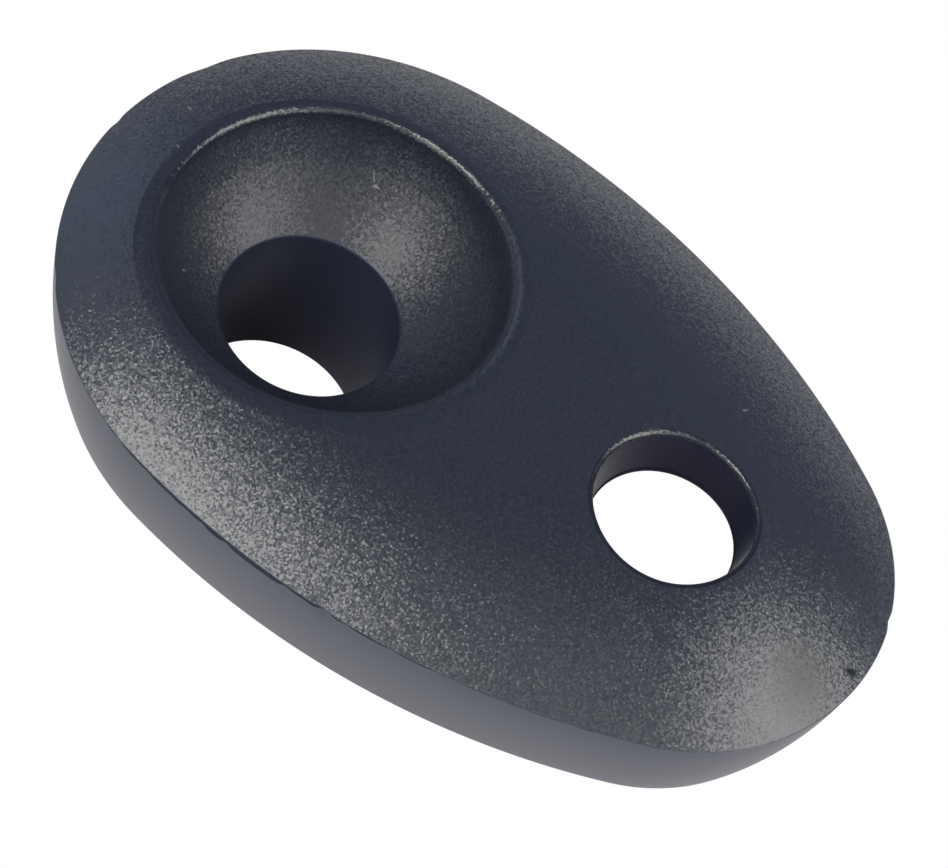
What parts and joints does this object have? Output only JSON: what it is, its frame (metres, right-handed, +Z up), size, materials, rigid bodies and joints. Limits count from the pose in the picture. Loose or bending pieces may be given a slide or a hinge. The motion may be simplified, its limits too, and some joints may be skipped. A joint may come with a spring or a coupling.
{
  "type": "recessed knot fitting",
  "caption": "Egg-shaped moulded deck pad with a dished recess that holds a stopper knot, a bored spigot under it and a second bore.",
  "frame": {"origin": "on the axis of the line bore and its spigot, in the plane of the seat that the pad stands on", "axes": "+Z up out of the deck along the line bore, +X from the line bore to the small bore, along the pad's length"},
  "size_m": [0.04, 0.0266, 0.0141],
  "materials": {
    "moulding": "spark-eroded matte on top, satin on the wall"
  },
  "bodies": {
    "root": {"knot_fitting": "moulding"}
  },
  "joints": []
}
